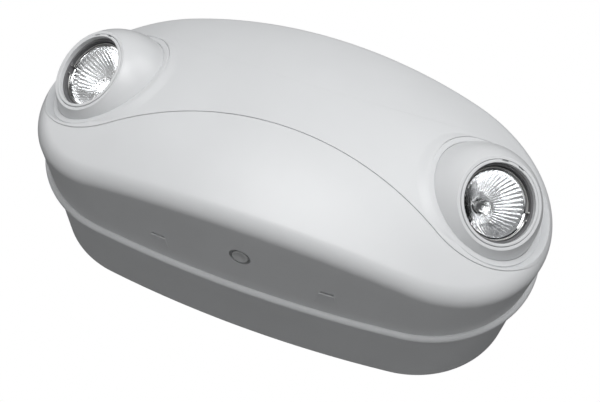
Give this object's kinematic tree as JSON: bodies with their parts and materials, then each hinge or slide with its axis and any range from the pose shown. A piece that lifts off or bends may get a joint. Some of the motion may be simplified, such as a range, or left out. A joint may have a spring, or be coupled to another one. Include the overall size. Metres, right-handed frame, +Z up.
{
  "type": "emergency light",
  "caption": "Oval wall unit with a battery and two ball-shaped lamp heads that swivel and tilt in collars of its bowed front cover.",
  "frame": {"origin": "middle of the flat back face, where the unit lies on the wall", "axes": "+Y into the wall, the front faces -Y, +X to the right seen from the front, +Z up"},
  "size_m": [0.391, 0.1658, 0.193],
  "materials": {
    "housing_plastic": "moulded, fine grain, satin",
    "cover_plastic": "moulded, fine grain, satin",
    "head_plastic": "moulded, fine grain, satin",
    "bezel_plastic": "smooth moulded",
    "cup_plastic": "moulded",
    "ring_plastic": "moulded",
    "button_plastic": "smooth moulded",
    "reflector_mirror": "fluted aluminised glass",
    "lens_glass": "clear polished",
    "burner_glass": "clear capsule",
    "lamp_ceramic": "cement and ceramic",
    "socket_ceramic": "glazed ceramic",
    "clip_wire": "spring wire",
    "pin_steel": "turned steel",
    "zinc_steel": "zinc plated sheet",
    "screw_steel": "zinc plated",
    "battery_case": "moulded",
    "terminal_metal": "tinned tabs",
    "board": "solder resist",
    "black_plastic": "moulded",
    "led": "clear green",
    "core_steel": "varnished plates",
    "coil_tape": "tape over the windings",
    "relay_case": "moulded",
    "capacitor_sleeve": "shrunk sleeve",
    "black_aluminium": "black anodised",
    "terminal_plastic": "moulded"
  },
  "bodies": {
    "root": {"rear_housing": "housing_plastic", "front_cover": "cover_plastic", "left_retainer": "zinc_steel", "right_retainer": "zinc_steel", "retainer_screws": "screw_steel", "switch_board": "board", "test_switch": "black_plastic", "pilot_led": "led", "battery": "battery_case", "battery_terminals": "terminal_metal", "battery_strap": "zinc_steel", "strap_screws": "screw_steel", "transformer_core": "core_steel", "transformer_coil": "coil_tape", "transformer_frame": "zinc_steel", "transformer_screws": "screw_steel", "circuit_board": "board", "board_screws": "screw_steel", "relay": "relay_case", "capacitors": "capacitor_sleeve", "heat_sink": "black_aluminium", "terminal_block": "terminal_plastic"},
    "left_swivel": {"left_swivel_ring": "ring_plastic", "left_pivot_pins": "pin_steel"},
    "right_swivel": {"right_swivel_ring": "ring_plastic", "right_pivot_pins": "pin_steel"},
    "left_head": {"left_ball": "head_plastic", "left_cup": "cup_plastic", "left_bezel": "bezel_plastic", "left_clip_ring": "clip_wire", "left_reflector": "reflector_mirror", "left_lens": "lens_glass", "left_burner": "burner_glass", "left_lamp_base": "lamp_ceramic", "left_socket": "socket_ceramic"},
    "right_head": {"right_ball": "head_plastic", "right_cup": "cup_plastic", "right_bezel": "bezel_plastic", "right_clip_ring": "clip_wire", "right_reflector": "reflector_mirror", "right_lens": "lens_glass", "right_burner": "burner_glass", "right_lamp_base": "lamp_ceramic", "right_socket": "socket_ceramic"},
    "button": {"test_button": "button_plastic"}
  },
  "joints": [
    {"name": "left_spin", "type": "hinge", "parent": "root", "child": "left_swivel", "pos_m": [-0.138, -0.1194, 0], "axis": [-0.4772, -0.8788, 0], "range_deg": [-90, 90]},
    {"name": "right_spin", "type": "hinge", "parent": "root", "child": "right_swivel", "pos_m": [0.138, -0.1194, 0], "axis": [0.4772, -0.8788, 0], "range_deg": [-90, 90]},
    {"name": "left_tilt", "type": "hinge", "parent": "left_swivel", "child": "left_head", "pos_m": [-0.138, -0.1194, 0], "axis": [0.8788, -0.4772, 0], "range_deg": [-50, 6]},
    {"name": "right_tilt", "type": "hinge", "parent": "right_swivel", "child": "right_head", "pos_m": [0.138, -0.1194, 0], "axis": [0.8788, 0.4772, 0], "range_deg": [-50, 6]},
    {"name": "button_press", "type": "slide", "parent": "root", "child": "button", "axis": [0, 0, 1], "range_m": [0, 0.0015], "stiffness_N_per_m": 800, "springref_m": -0.0004}
  ]
}
